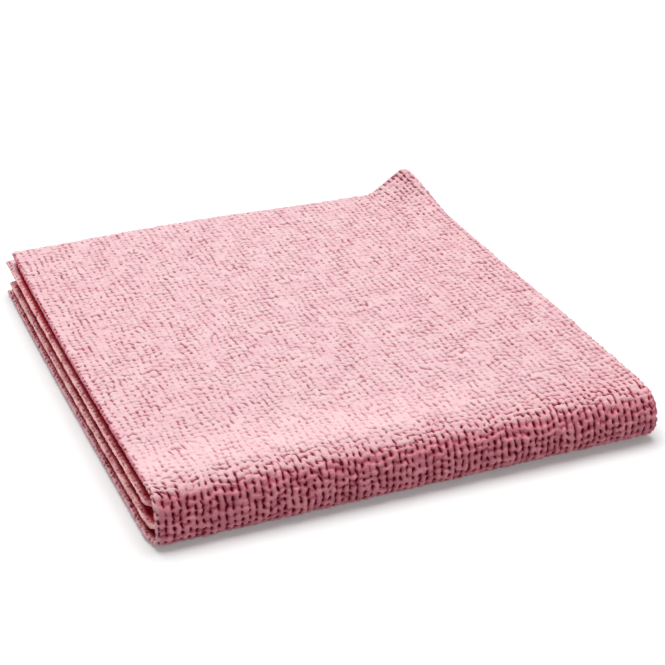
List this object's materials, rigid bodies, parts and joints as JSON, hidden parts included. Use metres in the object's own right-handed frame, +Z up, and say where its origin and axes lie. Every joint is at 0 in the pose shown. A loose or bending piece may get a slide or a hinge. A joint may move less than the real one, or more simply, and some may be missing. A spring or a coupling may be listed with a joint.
{
  "type": "folded cleaning cloth",
  "caption": "soft knitted cleaning cloth folded in four and lying flat, with its back right corner lifted off the stack",
  "frame": {"origin": "on the surface that the cloth lies on, under the middle of its outline", "axes": "+Z up, +X towards the first fold on the right, -Y towards the second fold in front, so the raw edges are at -X and +Y"},
  "size_m": [0.1756, 0.1932, 0.0276],
  "materials": {
    "cloth": "matte knobbly knit, pink"
  },
  "bodies": {
    "root": {"cloth": "cloth"}
  },
  "joints": []
}
